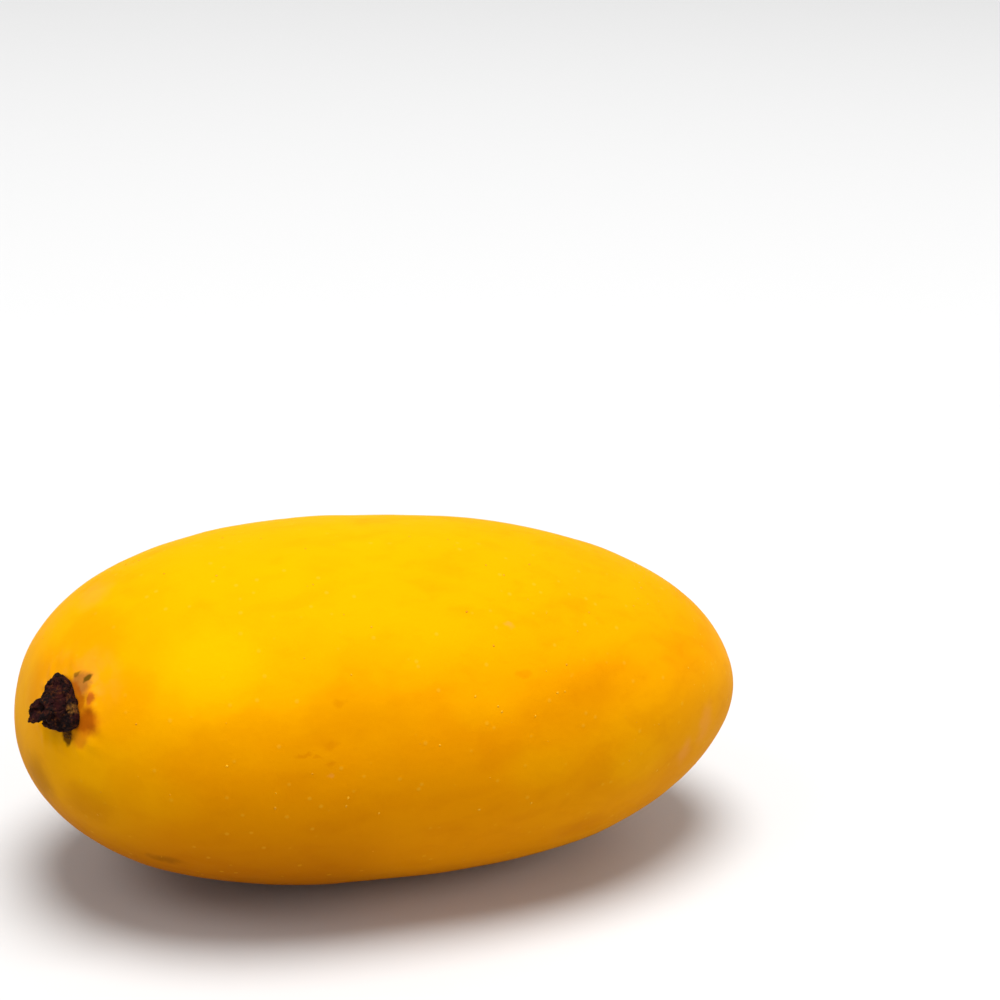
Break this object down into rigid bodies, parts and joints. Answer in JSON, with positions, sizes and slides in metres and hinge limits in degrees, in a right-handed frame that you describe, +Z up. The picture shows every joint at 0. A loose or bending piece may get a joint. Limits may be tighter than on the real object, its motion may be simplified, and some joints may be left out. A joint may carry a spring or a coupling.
{
  "type": "mango",
  "caption": "Ripe golden-yellow mango, long and plump with a rounded tip, lying on its side on a small flat spot, with a dried dark stub of stalk at its blunt end.",
  "frame": {"origin": "under the middle of the fruit's bounding box, on the surface that it rests on", "axes": "+X along the fruit from the stem end to the tip, +Z up, away from the surface that it lies on"},
  "size_m": [0.1292, 0.0708, 0.0624],
  "materials": {
    "skin": "satin, smooth with fine pores, golden yellow to orange",
    "dried_stalk": "rough, dry and dark brown"
  },
  "bodies": {
    "root": {"fruit": "skin", "stem_stub": "dried_stalk"}
  },
  "joints": []
}
